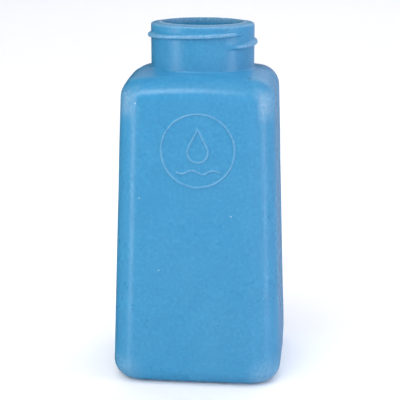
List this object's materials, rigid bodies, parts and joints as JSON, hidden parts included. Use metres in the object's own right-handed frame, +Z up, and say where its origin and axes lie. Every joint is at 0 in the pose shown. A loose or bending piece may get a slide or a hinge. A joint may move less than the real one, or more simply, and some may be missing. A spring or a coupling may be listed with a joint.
{
  "type": "square bottle with an open screw neck",
  "caption": "Square, slightly tapered dispensing bottle of blue plastic with rounded corners, a low domed shoulder and a wide open screw neck.",
  "frame": {"origin": "centre of the base, on the plane that the bottle stands on", "axes": "+Z up along the bottle's axis and out of the mouth; -Y is the front, the face with the raised emblem; +X is to the right seen from the front"},
  "size_m": [0.058, 0.0578, 0.1202],
  "materials": {
    "bottle": "satin blow-moulded high-density polyethylene, mid blue all through"
  },
  "bodies": {
    "root": {"bottle": "bottle"}
  },
  "joints": []
}
